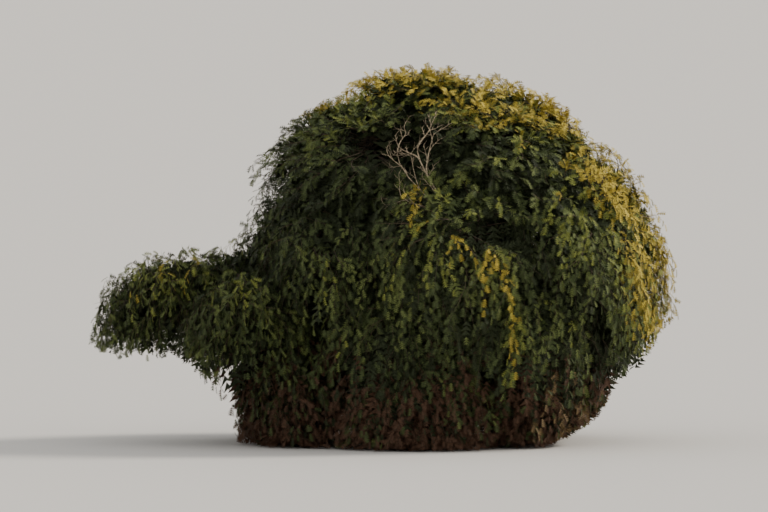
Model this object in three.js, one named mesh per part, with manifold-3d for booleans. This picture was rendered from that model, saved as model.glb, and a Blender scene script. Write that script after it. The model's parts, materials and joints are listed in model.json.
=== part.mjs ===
// Acacia tree, 6 m tall and 9 m wide. The domed crown hangs almost to the ground, a low lobe at its left.
// A short trunk forks into boughs. Each bough ends at one mass of foliage, and the masses stand like a shell
// round the bare limbs inside. Millimetres, +Z up, +X to the right and -Y to the front. The origin is the
// centre of the flat cut under the trunk.
import * as THREE from 'three';
import { mergeVertices } from 'three/addons/utils/BufferGeometryUtils.js';
import Module from 'manifold-3d';

// The crown's dome: where its middle is, and how far its skin reaches from there.
const CROWN_TOP = 6000;
const DOME_X = 800;
const DOME_Z = 2600;
const DOME_REACH = 3400;
const DOME_DEPTH = 3250;
const TOP_LEAN = 600;

// The masses face away from a line inside the crown, a share of their own height up it.
const FACING_X = 150;
const FACING_Z = 350;
const FACING_SHARE = 0.45;

// The rings of masses in the dome's skin, from the top down. A mass is a cushion that faces out of the crown:
// spread is its radius along the skin, and depth its half thickness. elevation is the angle above the dome's
// middle, turn is where the ring's first mass stands, in degrees from +X, and tuck draws a ring in.
const TIERS = [
  { name: 'top', count: 1, elevation: 90, turn: 0, spread: 1550, depth: 800, tuck: 1, twigs: 38 },
  { name: 'upper', count: 5, elevation: 52, turn: 14, spread: 1640, depth: 800, tuck: 1, twigs: 38 },
  { name: 'shoulder', count: 7, elevation: 18, turn: 13, spread: 1680, depth: 820, tuck: 1, twigs: 38 },
  { name: 'side', count: 7, elevation: -12, turn: 39, spread: 1400, depth: 800, tuck: 0.93, twigs: 32 },
];

// The skirt of low masses in the shade under the dome, in a ring round a place x right of the trunk.
const SKIRT = {
  name: 'low',
  count: 6,
  turn: 30,
  x: 50,
  distance: 2640,
  height: 900,
  spread: 1320,
  depth: 800,
  twigs: 24,
};

// The low lobe that reaches out on the left: its masses lie flat, side by side, and face up.
const LOBE = {
  name: 'left',
  spread: 1360,
  depth: 850,
  twigs: 34,
  facing: new THREE.Vector3(-0.3, 0, 1),
  places: [
    new THREE.Vector3(-3780, -250, 2260),
    new THREE.Vector3(-2560, 650, 2420),
    new THREE.Vector3(-2500, -1150, 2080),
  ],
};

// Dark pockets in the front of the crown that no foliage grows into.
const HOLLOWS = [
  { centre: new THREE.Vector3(-300, -2450, 4720), radii: new THREE.Vector3(850, 1000, 340) },
  { centre: new THREE.Vector3(1400, -3100, 3430), radii: new THREE.Vector3(480, 800, 240) },
];

// The limbs. A limb's radius grows with the square root of the masses that it carries.
const TRUNK_HEIGHT = 720;
const TRUNK_LEAN = new THREE.Vector3(-70, 50, 0);
const FLARE = 150;
const FLARE_HEIGHT = 170;
const ROOT_RIDGES = 5;
const RIDGE_DEPTH = 0.35;
const RIDGE_TURN = 0.6;
const WAIST = 0.6;
const TRUNK_SIDES = 20;
const TRUNK_RINGS = 6;
const TRUNK_TAPER = 0.86;
const BOUGH_TIP = 32;
const BOUGH_TAPER = 0.8;
const BEND_BACK = 0.42;
const BEND_EASE = 0.35;
const OWN_LOAD = 0.6;
const BOUGH_SIDES = 5;
const BOUGH_RINGS = 4;
const CLEARANCE = 0.3;

// Where boughs may grow: between these shares of their parent, arched by one of these lifts.
const FORK_FROM = 0.3;
const FORK_TO = 0.85;
const FORK_STEP = 0.05;
const LIFTS = [0, 0.12, -0.12];

// What keeps a bough from a way: each is a length that it would rather grow than bear that.
const TURN_COST = 500;
const DROP_COST = 1.5;
const DROP_ROOM = 250;
const MASS_COST = 150;
const MASS_ROOM = 0.8;
const LIMB_COST = 1500;
const LIMB_ROOM = 190;

// The boughs that rise from the trunk's head as its main stems, and how they stand there.
const STEMS = ['top_1', 'upper_1', 'upper_3', 'upper_4', 'shoulder_3', 'shoulder_7'];
const STEM_SPACING = 95;
const STEM_DEPTH = 120;

// The foliage. A mass's stem takes over from its bough at a share of the way to the mass's skin.
const ENTRY_SHARE = 0.9;
const STEM_BEND = 0.4;
const STEM_TAPER = 0.4;
const TWIG_RADIUS = 20;
const TWIG_ROOT = 0.25;
const TWIG_OVERLAP = 0.35;
const BACK_LIMIT = -0.1;
const SHORTEST_REACH = 0.8;

// A spray of leaves is one blade, which leans over to one side and hangs a little.
const SPRAY_LENGTH = 800;
const SPRAY_WIDTH = 460;
const SPRAY_THICKNESS = 26;
const LENGTH_SPREAD = 0.15;
const LEAN = 0.55;
const HANG = 0.35;
const SPIN = 0.8;

// Every second twig has another spray at its side, this far along it and turned the other way.
const SIDE_SPRAY_PLACE = 0.8;
const SIDE_SPRAY_SIZE = 0.85;
const SIDE_SPRAY_LEAN = 1.6;
const SIDE_SPRAY_ROOT = 0.08;

// A mass's core reaches these shares of the way to its skin, at its sides, front and back.
const CORE_SIDE = 0.75;
const CORE_FRONT = 0.38;
const CORE_BACK = 0.15;
const CORE_LUMP = 0.13;
const CORE_WAVES = new THREE.Vector3(9, 7, 8);

// What keeps the masses apart, clear of the limbs and off the ground.
const CELL_MARGIN = 0.035;
const LIMB_MARGIN = 30;
const GROUND_MARGIN = 30;
const REACH_STEP = 0.02;

const MATERIALS = {
  bark: new THREE.MeshStandardMaterial({ color: 0x5b4a3a, roughness: 0.95, metalness: 0 }),
  foliage: new THREE.MeshStandardMaterial({ color: 0x4a5523, roughness: 0.85, metalness: 0 }),
};

const UP = new THREE.Vector3(0, 0, 1);
const wasm = await Module();
wasm.setup();

// A number from 0 to 1 that is always the same for the same two numbers.
function roll(a, b) {
  const wave = Math.sin(a * 12.9898 + b * 78.233) * 43758.5453;
  return wave - Math.floor(wave);
}

const degrees = (angle) => (angle * Math.PI) / 180;

// Points spread evenly over a ball of radius 1, turned by the seed.
function evenDirections(count, seed) {
  const golden = Math.PI * (3 - Math.sqrt(5));
  return Array.from({ length: count }, (_, k) => {
    const z = 1 - (2 * (k + 0.5)) / count;
    const ring = Math.sqrt(1 - z * z);
    const angle = golden * k + 2 * Math.PI * roll(seed, 3);
    return new THREE.Vector3(ring * Math.cos(angle), ring * Math.sin(angle), z);
  });
}

// The masses: each is a cushion of crown with a centre, a spread, a depth and the direction that it faces.
// Its bough comes in along its heading, and the mass takes over at its entry.
function crownMasses() {
  const masses = [];
  const add = (name, centre, { spread, depth, twigs, facing }) => {
    const focus = new THREE.Vector3(FACING_X, 0, FACING_SHARE * centre.z + FACING_Z);
    const outward = (facing ? facing.clone() : centre.clone().sub(focus)).normalize();
    const heading = centre.clone().setZ(centre.z - TRUNK_HEIGHT).normalize().add(outward).normalize();
    masses.push({ name, centre, spread, depth, twigs, outward, heading, seed: masses.length + 1 });
  };
  for (const tier of TIERS) {
    const rise = degrees(tier.elevation);
    for (let k = 0; k < tier.count; k++) {
      const angle = degrees(tier.turn) + (2 * Math.PI * k) / tier.count;
      const out = Math.cos(rise) * tier.tuck;
      const z = DOME_Z + (CROWN_TOP - DOME_Z - tier.depth) * Math.sin(rise);
      const lean = -TOP_LEAN * Math.max(0, (z - DOME_Z) / (CROWN_TOP - DOME_Z - tier.depth)) ** 2;
      const centre = new THREE.Vector3(
        DOME_X + lean + (DOME_REACH - tier.depth) * out * Math.cos(angle),
        (DOME_DEPTH - tier.depth) * out * Math.sin(angle),
        z,
      );
      add(`${tier.name}_${k + 1}`, centre, tier);
    }
  }
  for (let k = 0; k < SKIRT.count; k++) {
    const angle = degrees(SKIRT.turn) + (2 * Math.PI * k) / SKIRT.count;
    const out = SKIRT.distance - SKIRT.depth / 2;
    const centre = new THREE.Vector3(SKIRT.x + out * Math.cos(angle), out * Math.sin(angle), SKIRT.height);
    add(`${SKIRT.name}_${k + 1}`, centre, SKIRT);
  }
  LOBE.places.forEach((place, k) => add(`${LOBE.name}_${k + 1}`, place, LOBE));
  for (const mass of masses) {
    const back = mass.heading.clone().negate();
    mass.entry = placeIn(mass, back, Math.min(ENTRY_SHARE, ownReach(mass, masses, back, CELL_MARGIN)));
  }
  return masses;
}

// How far out of a mass's centre a point lies, 1 being its skin.
function shareOut(mass, point) {
  const offset = point.clone().sub(mass.centre);
  const along = offset.dot(mass.outward);
  const aside = Math.sqrt(Math.max(0, offset.lengthSq() - along * along));
  return Math.hypot(along / mass.depth, aside / mass.spread);
}

// The point at a share of the way from a mass's centre to its skin.
const placeIn = (mass, direction, share) =>
  mass.centre.clone().addScaledVector(direction, share / shareOut(mass, mass.centre.clone().add(direction)));

const inHollow = (point) =>
  HOLLOWS.some((hollow) => point.clone().sub(hollow.centre).divide(hollow.radii).length() < 1);

// A point keeps to its own mass when every other mass's centre is further, in shares of that mass's size.
function inOwnSpace(mass, masses, point, margin = CELL_MARGIN) {
  const own = shareOut(mass, point);
  if (own > 1 || point.z < GROUND_MARGIN || inHollow(point)) return false;
  return masses.every((other) => other === mass || shareOut(other, point) > own + margin);
}

// The largest share of the way from the centre to the skin, along a direction, that is still the mass's own.
function ownReach(mass, masses, direction, margin) {
  for (let share = 5 * REACH_STEP; share < 1; share += REACH_STEP) {
    if (!inOwnSpace(mass, masses, placeIn(mass, direction, share), margin)) return share - REACH_STEP;
  }
  return 1;
}

// A limb's line: it leaves its root and swings round to enter the mass straight, arched up or down by a lift.
function boughCurve(root, tip, heading, lift = 0) {
  const length = root.distanceTo(tip);
  const middle = root.clone().lerp(tip, 0.5);
  const bend = tip.clone().addScaledVector(heading, -BEND_BACK * length).lerp(middle, BEND_EASE);
  return new THREE.QuadraticBezierCurve3(root, bend.addScaledVector(UP, lift * length), tip);
}

// The limbs: the trunk first, then for each mass one bough. The stems rise from the trunk's head,
// and every other bough leaves the limb that serves its mass best.
function growLimbs(masses) {
  const head = new THREE.Vector3(TRUNK_LEAN.x, TRUNK_LEAN.y, TRUNK_HEIGHT);
  const waist = new THREE.Vector3(0, 0, WAIST * TRUNK_HEIGHT);
  const trunk = {
    name: 'trunk',
    curve: new THREE.QuadraticBezierCurve3(new THREE.Vector3(), waist, head),
    load: 0,
    parent: null,
  };
  const limbs = [trunk];
  const order = [...masses].sort(
    (a, b) => STEMS.includes(b.name) - STEMS.includes(a.name) || b.centre.z - a.centre.z,
  );
  for (const mass of order) {
    const bough = STEMS.includes(mass.name)
      ? { parent: trunk, curve: stemCurve(head, mass) }
      : bestBough(mass, masses, limbs);
    const line = bough.curve.getSpacedPoints(24);
    limbs.push({ ...bough, line, name: `bough_${mass.name}`, mass, load: 1 });
    for (let limb = bough.parent; limb; limb = limb.parent) limb.load += 1;
  }
  for (const limb of limbs) {
    limb.rootRadius = BOUGH_TIP * Math.sqrt(limb === trunk ? limb.load : limb.load + OWN_LOAD);
    limb.tipRadius = limb === trunk ? limb.rootRadius * TRUNK_TAPER : BOUGH_TIP;
  }
  return limbs;
}

// A main stem's line, from its place in the ring on the trunk's head.
function stemCurve(head, mass) {
  const aside = new THREE.Vector3(mass.entry.x - head.x, mass.entry.y - head.y, 0).setLength(STEM_SPACING);
  const root = head.clone().add(aside).setZ(TRUNK_HEIGHT - STEM_DEPTH);
  return boughCurve(root, mass.entry, mass.heading);
}

// The shortest bough to a mass that doesn't turn back on its parent or crowd the other limbs and masses.
function bestBough(mass, masses, limbs) {
  let best = { cost: Infinity };
  for (const parent of limbs) {
    for (let share = FORK_FROM; share <= FORK_TO; share += FORK_STEP) {
      for (const lift of LIFTS) {
        const root = parent.curve.getPoint(share);
        const curve = boughCurve(root, mass.entry, mass.heading, lift);
        const turn = 1 - curve.getTangentAt(0).dot(parent.curve.getTangent(share));
        const drop = Math.max(0, root.z - mass.entry.z + DROP_ROOM);
        const length = root.distanceTo(mass.entry) * (1 + Math.abs(lift));
        const effort = length + TURN_COST * turn + DROP_COST * drop;
        if (effort > best.cost) continue;
        const cost = effort + crowding(curve, parent, mass, masses, limbs);
        if (cost < best.cost) best = { cost, parent, curve };
      }
    }
  }
  return { parent: best.parent, curve: best.curve };
}

// How much a bough would run into other limbs and into the middles of other masses.
function crowding(curve, parent, mass, masses, limbs) {
  let cost = 0;
  const points = curve.getSpacedPoints(16).slice(3);
  const nearest = new THREE.Vector3();
  for (const other of masses.filter((m) => m !== mass)) {
    const stem = new THREE.Line3(other.entry, other.centre);
    for (const point of points) {
      cost += MASS_COST * Math.max(0, MASS_ROOM - shareOut(other, point));
      const gap = stem.closestPointToPoint(point, true, nearest).distanceTo(point);
      if (gap < LIMB_ROOM) cost += LIMB_COST;
    }
  }
  for (const limb of limbs.filter((l) => l.line && l !== parent)) {
    const near = (point) => limb.line.some((place) => place.distanceTo(point) < LIMB_ROOM);
    if (points.some(near)) cost += LIMB_COST;
  }
  return cost;
}

// A closed tapering tube: a cylinder bent along a curve. grow widens it and lengthens its far end.
function taperedTube(curve, sides, rings, radiusAt, grow = 0) {
  const shape = new THREE.CylinderGeometry(1, 1, 1, sides, rings);
  const frames = curve.computeFrenetFrames(rings, false);
  const place = shape.getAttribute('position');
  for (let i = 0; i < place.count; i++) {
    const share = place.getY(i) + 0.5;
    const ring = Math.round(share * rings);
    const middle = curve.getPointAt(ring / rings).clone();
    if (ring === rings) middle.addScaledVector(frames.tangents[ring], grow);
    const angle = Math.atan2(place.getZ(i), place.getX(i));
    const radius = Math.hypot(place.getX(i), place.getZ(i)) * (radiusAt(ring / rings, angle) + grow);
    middle.addScaledVector(frames.normals[ring], radius * Math.cos(angle));
    middle.addScaledVector(frames.binormals[ring], -radius * Math.sin(angle));
    place.setXYZ(i, middle.x, middle.y, middle.z);
  }
  return shape;
}

function limbTube(limb, grow = 0) {
  if (limb.parent) {
    const radiusAt = (share) => THREE.MathUtils.lerp(limb.rootRadius, limb.tipRadius, share ** BOUGH_TAPER);
    return taperedTube(limb.curve, BOUGH_SIDES, BOUGH_RINGS, radiusAt, grow);
  }
  const radiusAt = (share, angle) => {
    const flare = FLARE * Math.exp((-share * TRUNK_HEIGHT) / FLARE_HEIGHT);
    const ridge = 1 - RIDGE_DEPTH + RIDGE_DEPTH * Math.cos(ROOT_RIDGES * angle + RIDGE_TURN);
    return THREE.MathUtils.lerp(limb.rootRadius, limb.tipRadius, share) + flare * ridge;
  };
  return taperedTube(limb.curve, TRUNK_SIDES, TRUNK_RINGS, radiusAt, grow);
}

// A three.js geometry as a solid that can be joined and cut.
function solidOf(geometry) {
  const bare = geometry.clone();
  bare.deleteAttribute('normal');
  bare.deleteAttribute('uv');
  const merged = mergeVertices(bare, 1e-3);
  return new wasm.Manifold(
    new wasm.Mesh({
      numProp: 3,
      vertProperties: new Float32Array(merged.getAttribute('position').array),
      triVerts: new Uint32Array(merged.index.array),
    }),
  );
}

// The largest body of a solid, without the loose scraps.
function largestBody(solid) {
  return solid.decompose().reduce((best, body) => (body.volume() > best.volume() ? body : best));
}

function geometryOf(solid) {
  const mesh = solid.getMesh();
  const geometry = new THREE.BufferGeometry();
  geometry.setAttribute('position', new THREE.BufferAttribute(mesh.vertProperties, 3));
  geometry.setIndex(new THREE.BufferAttribute(mesh.triVerts, 1));
  geometry.computeVertexNormals();
  return geometry;
}

// A lumpy core, thin on its inner side, that the twigs of its mass stand out of.
function coreSolid(mass, masses) {
  const shape = new THREE.IcosahedronGeometry(1, 1);
  const place = shape.getAttribute('position');
  for (let i = 0; i < place.count; i++) {
    const direction = new THREE.Vector3().fromBufferAttribute(place, i).normalize();
    const lump = 1 + CORE_LUMP * Math.sin(CORE_WAVES.dot(direction) + mass.seed);
    const facing = direction.dot(mass.outward);
    const share = THREE.MathUtils.lerp(CORE_SIDE, facing > 0 ? CORE_FRONT : CORE_BACK, Math.abs(facing));
    const reach = ownReach(mass, masses, direction, 2 * CELL_MARGIN);
    const point = placeIn(mass, direction, Math.min(share * lump, reach));
    place.setXYZ(i, point.x, point.y, point.z);
  }
  return solidOf(shape);
}

// The stem that takes over from the bough's tip and runs to the middle of the mass.
function stemSolid(mass, bough) {
  const way = bough.curve.getTangentAt(1);
  const start = mass.entry.clone().addScaledVector(way, CLEARANCE);
  const bend = start.clone().addScaledVector(way, STEM_BEND * start.distanceTo(mass.centre));
  const curve = new THREE.QuadraticBezierCurve3(start, bend, mass.centre.clone());
  return solidOf(taperedTube(curve, BOUGH_SIDES, 2, (share) => BOUGH_TIP * (1 - STEM_TAPER * share)));
}

// A spray of leaves as one thin blade of eight faces, from its root to its tip.
function sprayGeometry(root, way, length, spin) {
  const shape = new THREE.OctahedronGeometry(1);
  shape.scale(length / 2, SPRAY_WIDTH / 2, SPRAY_THICKNESS / 2);
  shape.translate(length / 2, 0, 0);
  const across = new THREE.Vector3().crossVectors(UP, way);
  if (across.lengthSq() < 1e-4) across.set(1, 0, 0);
  across.normalize().applyAxisAngle(way, spin);
  const face = new THREE.Vector3().crossVectors(way, across);
  shape.applyMatrix4(new THREE.Matrix4().makeBasis(way, across, face).setPosition(root));
  return shape;
}

// A three-sided twig that comes to a point.
function twigGeometry(root, tip) {
  const length = root.distanceTo(tip);
  const shape = new THREE.ConeGeometry(TWIG_RADIUS, length, 3);
  shape.translate(0, length / 2, 0);
  const turn = new THREE.Quaternion().setFromUnitVectors(
    new THREE.Vector3(0, 1, 0),
    tip.clone().sub(root).normalize(),
  );
  shape.applyMatrix4(new THREE.Matrix4().makeRotationFromQuaternion(turn).setPosition(root));
  return shape;
}

// Whether a straight twig and every corner of a spray are in the mass's space and clear of the limbs.
function fits(root, tip, spray, mass, masses, limbPoints) {
  const place = spray.getAttribute('position');
  const points = Array.from({ length: 9 }, (_, i) => root.clone().lerp(tip, i / 8));
  for (let i = 0; i < place.count; i++) points.push(new THREE.Vector3().fromBufferAttribute(place, i));
  const clear = (point) => limbPoints.every((p) => p.place.distanceTo(point) > p.radius + LIMB_MARGIN);
  return points.every((point) => inOwnSpace(mass, masses, point)) && points.every(clear);
}

// The twigs and sprays of one mass: a twig to each even direction, that ends in a spray which leans over and
// hangs a little, and every second one with another spray at its side.
function foliageShapes(mass, masses, limbPoints) {
  const shapes = [];
  evenDirections(mass.twigs, mass.seed).forEach((even, k) => {
    const along = even.dot(mass.outward);
    if (along < BACK_LIMIT) return;
    const direction = even.multiplyScalar(mass.spread);
    direction.addScaledVector(mass.outward, along * (mass.depth - mass.spread)).normalize();
    const reach = ownReach(mass, masses, direction, CELL_MARGIN);
    if (reach < SHORTEST_REACH) return;
    const across = new THREE.Vector3().crossVectors(direction, UP).normalize();
    const lean = LEAN * (roll(k, mass.seed) < 0.5 ? -1 : 1);
    const hang = -HANG * (0.3 + roll(mass.seed, k));
    const way = direction.clone().addScaledVector(across, lean).addScaledVector(UP, hang).normalize();
    const length = SPRAY_LENGTH * (1 + LENGTH_SPREAD * (2 * roll(k, mass.seed + 5) - 1));
    const root = placeIn(mass, direction, reach - REACH_STEP / 4).addScaledVector(way, -length);
    const spin = SPIN * (2 * roll(mass.seed + 7, k) - 1);
    const spray = sprayGeometry(root, way, length, spin);
    const twigRoot = placeIn(mass, direction, TWIG_ROOT);
    const twigTip = root.clone().addScaledVector(way, TWIG_OVERLAP * length);
    if (!fits(twigRoot, twigTip, spray, mass, masses, limbPoints)) return;
    shapes.push(twigGeometry(twigRoot, twigTip), spray);
    if (k % 2) return;
    const aside = way.clone().addScaledVector(across, -SIDE_SPRAY_LEAN * lean).normalize();
    const joint = twigRoot.clone().lerp(root, SIDE_SPRAY_PLACE);
    joint.addScaledVector(aside, -SIDE_SPRAY_ROOT * length);
    const second = sprayGeometry(joint, aside, SIDE_SPRAY_SIZE * length, -spin);
    if (fits(joint, root, second, mass, masses, limbPoints)) shapes.push(second);
  });
  return shapes;
}

// Points along the limbs, close together, to keep the foliage clear of them.
function pointsOnLimbs(limbs) {
  return limbs.flatMap((limb) =>
    limb.curve.getSpacedPoints(40).map((place, i) => ({
      place,
      radius: THREE.MathUtils.lerp(limb.rootRadius, limb.tipRadius, i / 40),
      limb,
    })),
  );
}

function build() {
  const tree = new THREE.Group();
  const addNode = (name, solid, material) => {
    const mesh = new THREE.Mesh(geometryOf(solid), material);
    mesh.name = name;
    tree.add(mesh);
  };
  const masses = crownMasses();
  const limbs = growLimbs(masses);
  const cutters = new Map(limbs.map((limb) => [limb, solidOf(limbTube(limb, CLEARANCE))]));

  limbs.forEach((limb, i) => {
    let solid = solidOf(limbTube(limb));
    for (const earlier of limbs.slice(0, i)) solid = solid.subtract(cutters.get(earlier));
    addNode(limb.name, largestBody(solid), MATERIALS.bark);
  });

  const limbPoints = pointsOnLimbs(limbs);
  for (const mass of masses) {
    const bough = limbs.find((limb) => limb.mass === mass);
    let core = coreSolid(mass, masses);
    for (const limb of limbs) core = core.subtract(cutters.get(limb));
    let solid = largestBody(core).add(stemSolid(mass, bough));
    for (const shape of foliageShapes(mass, masses, limbPoints)) solid = solid.add(solidOf(shape));
    addNode(`foliage_${mass.name}`, largestBody(solid), MATERIALS.foliage);
  }
  return tree;
}

const tree = build();

export default tree;
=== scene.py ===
import json
import math
from types import SimpleNamespace

import bmesh
import bpy
import numpy as np
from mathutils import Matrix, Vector, noise

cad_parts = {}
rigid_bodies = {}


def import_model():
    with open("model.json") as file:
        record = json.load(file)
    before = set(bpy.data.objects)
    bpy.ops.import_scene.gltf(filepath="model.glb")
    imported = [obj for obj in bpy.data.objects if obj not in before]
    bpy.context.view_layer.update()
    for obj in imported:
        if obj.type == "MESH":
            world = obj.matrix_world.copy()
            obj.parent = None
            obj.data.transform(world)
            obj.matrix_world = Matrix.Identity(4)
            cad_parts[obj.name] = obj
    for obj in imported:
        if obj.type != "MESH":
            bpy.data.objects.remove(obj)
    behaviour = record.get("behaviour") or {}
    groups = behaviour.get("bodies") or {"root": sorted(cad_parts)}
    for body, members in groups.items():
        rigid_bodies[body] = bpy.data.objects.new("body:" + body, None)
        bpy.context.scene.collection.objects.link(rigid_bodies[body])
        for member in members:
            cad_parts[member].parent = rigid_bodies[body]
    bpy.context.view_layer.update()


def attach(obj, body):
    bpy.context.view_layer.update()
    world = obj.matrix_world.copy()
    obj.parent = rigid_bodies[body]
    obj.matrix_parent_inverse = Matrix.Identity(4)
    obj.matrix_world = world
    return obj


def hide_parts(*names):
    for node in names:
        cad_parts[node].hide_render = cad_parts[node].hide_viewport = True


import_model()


# Trunk and boughs
# A short trunk forks into a bough for each mass of foliage, all hidden by the crown. They are one growth of
# hard wood under grey-brown bark, so one mesh holds them, with the bark's cracks in its shape.

# The crown's dome: its middle, and how far its skin reaches from there.
CROWN_TOP = 6.0
DOME_X = 0.8
DOME_Z = 2.6
DOME_REACH = 3.4
DOME_DEPTH = 3.25
TOP_LEAN = 0.6

# Each mass faces away from a point above this place, by a share of its own height.
FACING_FROM = (0.15, 0, 0.35)
FACING_SHARE = 0.45

# Rings of masses from the top down, each mass a cushion of leaves that faces out.
TIERS = (
    dict(name="top", count=1, elevation=90, turn=0, spread=1.55, depth=0.8, tuck=1.0),
    dict(name="upper", count=5, elevation=52, turn=14, spread=1.64, depth=0.8, tuck=1.0),
    dict(name="shoulder", count=7, elevation=18, turn=13, spread=1.68, depth=0.82, tuck=1.0),
    dict(name="side", count=7, elevation=-12, turn=39, spread=1.4, depth=0.8, tuck=0.93),
)
SKIRT = dict(name="low", count=6, turn=30, x=0.05, distance=2.64, height=0.9, spread=1.32, depth=0.8)
LOBE = dict(name="left", spread=1.36, depth=0.85, facing=(-0.3, 0, 1))
LOBE_PLACES = ((-3.78, -0.25, 2.26), (-2.56, 0.65, 2.42), (-2.5, -1.15, 2.08))

# Dark pockets in the crown's front that no leaves grow into: centre and radii.
HOLLOWS = (
    ((-0.3, -2.45, 4.72), (0.85, 1.0, 0.34)),
    ((1.4, -3.1, 3.43), (0.48, 0.8, 0.24)),
)

# How far a mass keeps from others and the ground, and the steps in which its reach is tried.
CELL_MARGIN = 0.035
GROUND_MARGIN = 0.03
REACH_STEP = 0.02
FIRST_STEPS = 5
ENTRY_SHARE = 0.9

# The trunk's sizes, and how boughs thicken with the masses that they carry, and bend.
TRUNK_HEIGHT = 0.72
TRUNK_LEAN = (-0.07, 0.05)
FLARE = 0.15
FLARE_HEIGHT = 0.17
ROOT_RIDGES = 5
RIDGE_DEPTH = 0.35
RIDGE_TURN = 0.6
WAIST = 0.6
TRUNK_TAPER = 0.86
BOUGH_TIP = 0.032
BOUGH_TAPER = 0.8
BEND_BACK = 0.42
BEND_EASE = 0.35
OWN_LOAD = 0.6
STEMS = ("top_1", "upper_1", "upper_3", "upper_4", "shoulder_3", "shoulder_7")
STEM_SPACING = 0.095
STEM_DEPTH = 0.12

# Where boughs fork, and the length that a bough would rather grow than turn, drop or crowd others.
FORK_FROM = 0.3
FORK_TO = 0.85
FORK_STEP = 0.05
LIFTS = (0, 0.12, -0.12)
TURN_COST = 0.5
DROP_COST = 1.5
DROP_ROOM = 0.25
MASS_COST = 0.15
MASS_ROOM = 0.8
LIMB_COST = 1.5
LIMB_ROOM = 0.19

# How finely limbs are measured, and how many points next to a fork crowd nothing.
FINE_STEPS = 200
LINE_STEPS = 24
CROWD_STEPS = 16
NEAR_FORK = 3
TANGENT_STEP = 1e-4

UP = np.array((0.0, 0.0, 1.0))
SIDEWAYS = np.array((1.0, 0, 0))


def unit(vectors):
    """The vectors at length 1."""
    return vectors / np.linalg.norm(vectors, axis=-1, keepdims=True)


def mass_places():
    """Each mass's name, its ring and its centre."""
    for tier in TIERS:
        rise = math.radians(tier["elevation"])
        room = CROWN_TOP - DOME_Z - tier["depth"]
        for k in range(tier["count"]):
            angle = math.radians(tier["turn"]) + 2 * math.pi * k / tier["count"]
            out = math.cos(rise) * tier["tuck"]
            z = DOME_Z + room * math.sin(rise)
            lean = TOP_LEAN * max(0, (z - DOME_Z) / room) ** 2
            x = DOME_X - lean + (DOME_REACH - tier["depth"]) * out * math.cos(angle)
            y = (DOME_DEPTH - tier["depth"]) * out * math.sin(angle)
            yield f"{tier['name']}_{k + 1}", tier, (x, y, z)
    for k in range(SKIRT["count"]):
        angle = math.radians(SKIRT["turn"]) + 2 * math.pi * k / SKIRT["count"]
        out = SKIRT["distance"] - SKIRT["depth"] / 2
        place = (SKIRT["x"] + out * math.cos(angle), out * math.sin(angle), SKIRT["height"])
        yield f"{SKIRT['name']}_{k + 1}", SKIRT, place
    for k, place in enumerate(LOBE_PLACES):
        yield f"{LOBE['name']}_{k + 1}", LOBE, place


def crown_masses():
    """The masses as arrays. A bough comes into its mass along its heading."""
    names, rings, places = zip(*mass_places())
    centre = np.array(places)
    outward = centre - (FACING_FROM + FACING_SHARE * centre * UP)
    for way, ring in zip(outward, rings):
        way[:] = ring.get("facing", way)
    outward = unit(outward)
    return SimpleNamespace(
        names=names,
        centre=centre,
        outward=outward,
        heading=unit(unit(centre - TRUNK_HEIGHT * UP) + outward),
        spread=np.array([ring["spread"] for ring in rings]),
        depth=np.array([ring["depth"] for ring in rings]),
        every=np.arange(len(names)),
    )


def share_out(points):
    """How far out of each mass each point lies, 1 being that mass's skin."""
    offset = points[:, None] - masses.centre
    along = np.einsum("nmk,mk->nm", offset, masses.outward)
    aside = np.sqrt(np.maximum(0, (offset**2).sum(-1) - along**2))
    return np.hypot(along / masses.depth, aside / masses.spread)


def place_in(which, directions, share):
    """The points at a share of the way from these masses' centres to their skin."""
    start = masses.centre[which]
    reach = share_out(start + directions)[np.arange(len(which)), which]
    return start + directions * (share / reach)[:, None]


def from_places(points, places):
    """How far out of the nearest round place each point lies, 1 being its edge."""
    return np.min([np.linalg.norm((points - centre) / radii, axis=1) for centre, radii in places], axis=0)


def in_hollow(points):
    """Whether each point lies in a pocket."""
    return from_places(points, HOLLOWS) < 1


def own_reach(which, directions):
    """The largest share of the way to the skin that is still the mass's own."""
    reach = np.ones(len(which))
    growing = np.ones(len(which), bool)
    row = np.arange(len(which))
    share = FIRST_STEPS * REACH_STEP
    while share < 1:
        points = place_in(which, directions, share)
        shares = share_out(points)
        own = shares[row, which]
        shares[row, which] = np.inf
        fits = (own <= 1) & (points[:, 2] >= GROUND_MARGIN) & ~in_hollow(points)
        fits &= shares.min(1) > own + CELL_MARGIN
        reach[growing & ~fits] = share - REACH_STEP
        growing &= fits
        share += REACH_STEP
    return reach


def on_curve(ends, share):
    """Points on curves of 3 control points."""
    root, bend, tip = np.moveaxis(np.asarray(ends), -2, 0)
    share = np.asarray(share)[..., None]
    return (1 - share) ** 2 * root + 2 * share * (1 - share) * bend + share**2 * tip


def spaced(ends, count):
    """count + 1 points an even length apart on one curve."""
    fine = np.linspace(0, 1, FINE_STEPS + 1)
    steps = np.linalg.norm(np.diff(on_curve(ends, fine), axis=0), axis=1)
    length = np.concatenate(([0], np.cumsum(steps)))
    return on_curve(ends, np.interp(np.linspace(0, length[-1], count + 1), length, fine))


def tangent_on(ends, share):
    """The way that one curve runs at a share of its length."""
    first, last = on_curve(ends, [max(0, share - TANGENT_STEP), min(1, share + TANGENT_STEP)])
    return unit(last - first)


def bough_curve(root, which, lift=0.0):
    """A limb's line, which swings round to enter its mass straight."""
    tip = masses.entry[which]
    length = np.linalg.norm(tip - root)
    bend = tip - BEND_BACK * length * masses.heading[which]
    bend = bend + BEND_EASE * ((root + tip) / 2 - bend)
    return np.array((root, bend + lift * length * UP, tip))


def stem_curve(head, which):
    """A main stem's line, from its place in the ring on the trunk's head."""
    aside = masses.entry[which] - head
    aside[2] = 0
    root = head + unit(aside) * STEM_SPACING
    root[2] = TRUNK_HEIGHT - STEM_DEPTH
    return bough_curve(root, which)


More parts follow.
